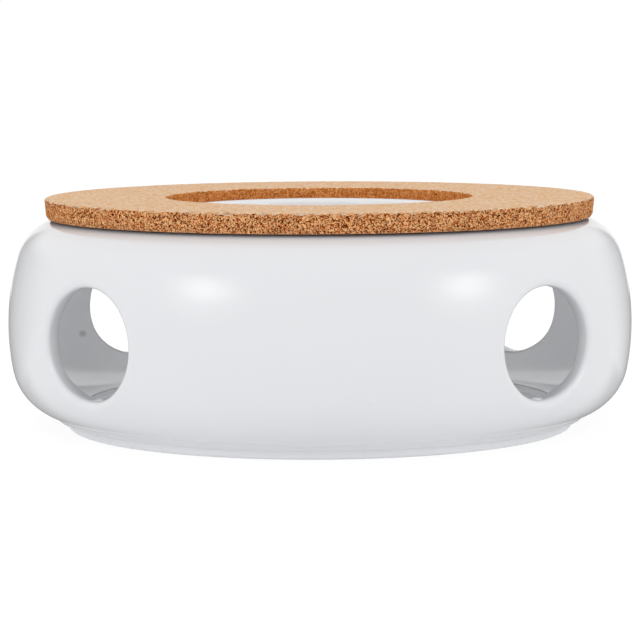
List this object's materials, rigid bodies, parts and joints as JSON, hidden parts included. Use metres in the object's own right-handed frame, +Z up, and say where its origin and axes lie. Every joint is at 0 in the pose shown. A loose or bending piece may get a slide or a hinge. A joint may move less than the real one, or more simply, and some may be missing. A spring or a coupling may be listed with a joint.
{
  "type": "teapot warmer",
  "caption": "Low round ceramic teapot warmer with side holes, an open neck with a raised collar, and a flat cork ring on top for the pot to stand on.",
  "frame": {"origin": "on the table, at the middle of the foot ring", "axes": "+Z up along the axis of the turned form; the side holes look along +X, -X, +Y and -Y"},
  "size_m": [0.1468, 0.1468, 0.0553],
  "materials": {
    "white_glaze": "white gloss glaze",
    "cork": "fine agglomerated cork, cut and left bare"
  },
  "bodies": {
    "root": {"ceramic_body": "white_glaze", "cork_ring": "cork"}
  },
  "joints": []
}
